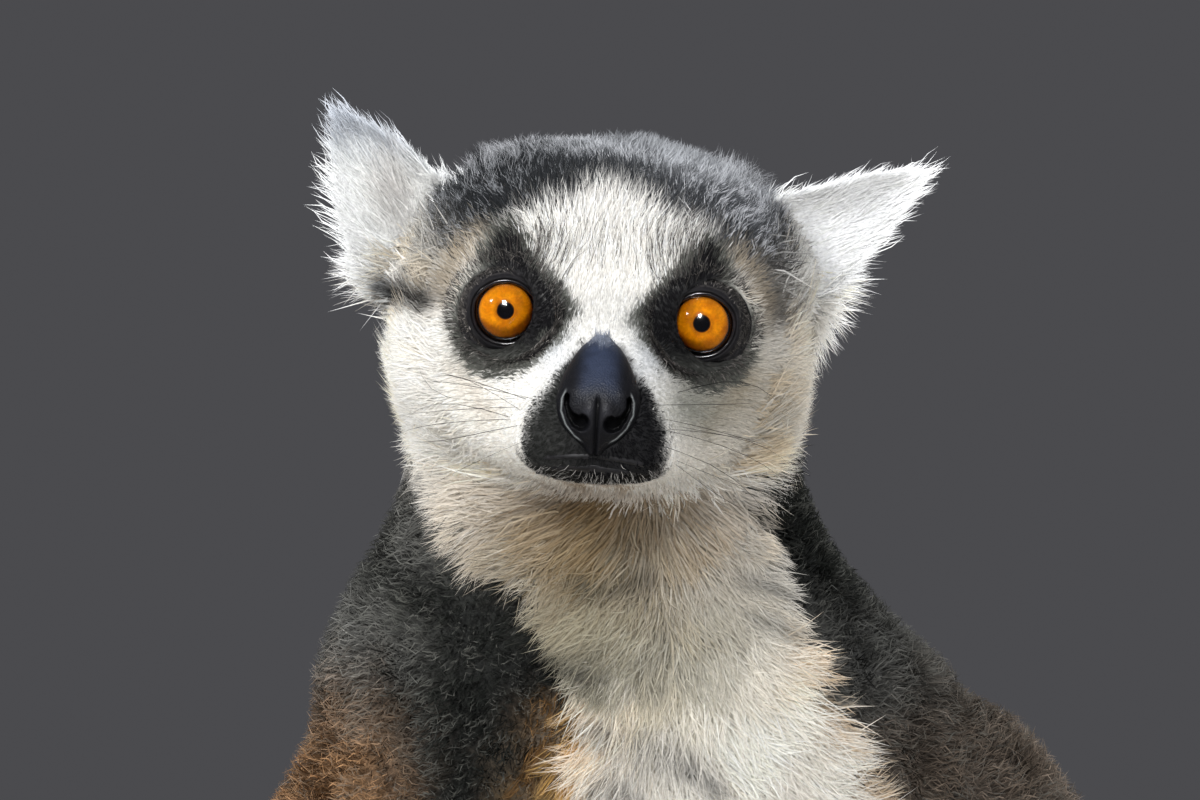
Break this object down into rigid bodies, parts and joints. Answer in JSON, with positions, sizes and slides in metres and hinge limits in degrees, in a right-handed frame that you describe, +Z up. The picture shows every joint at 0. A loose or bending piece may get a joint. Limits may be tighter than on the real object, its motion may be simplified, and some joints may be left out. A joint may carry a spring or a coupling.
{
  "type": "ring-tailed lemur, life-size still model",
  "caption": "Life-size still model of a ring-tailed lemur sitting upright on its haunches, hands on its knees, looking straight ahead, with its long ringed tail laid round it on the floor.",
  "frame": {"origin": "the middle of the flat under the rump, on the floor that the animal sits on", "axes": "+Z is up. The face looks along -Y, so the animal's right side is towards -X and its left side towards +X. The trunk is turned 12 degrees towards +X."},
  "size_m": [0.2897, 0.3159, 0.3692],
  "materials": {
    "grey_coat": "dense soft fur, grey brown with darker ticking",
    "pale_coat": "soft fur, cream to grey",
    "white_coat": "long soft white fur",
    "black_coat": "long soft black fur",
    "nose_leather": "bare pebbled skin with a soft damp sheen",
    "eye_amber": "clear wet gloss over an amber iris",
    "claw_horn": "dark smooth nail"
  },
  "bodies": {
    "root": {"head": "pale_coat", "muzzle": "pale_coat", "lower_jaw": "pale_coat", "nose": "nose_leather", "ear_right": "white_coat", "ear_left": "white_coat", "eye_right": "eye_amber", "eye_left": "eye_amber", "neck": "grey_coat", "chest": "pale_coat", "belly": "pale_coat", "rump": "grey_coat", "upper_arm_right": "grey_coat", "upper_arm_left": "grey_coat", "forearm_right": "grey_coat", "forearm_left": "grey_coat", "hand_right": "pale_coat", "hand_left": "pale_coat", "thigh_right": "grey_coat", "thigh_left": "grey_coat", "shank_right": "grey_coat", "shank_left": "grey_coat", "foot_right": "pale_coat", "foot_left": "pale_coat", "tail_1": "black_coat", "tail_2": "white_coat", "tail_3": "black_coat", "tail_4": "white_coat", "tail_5": "black_coat", "tail_6": "white_coat"}
  },
  "joints": []
}
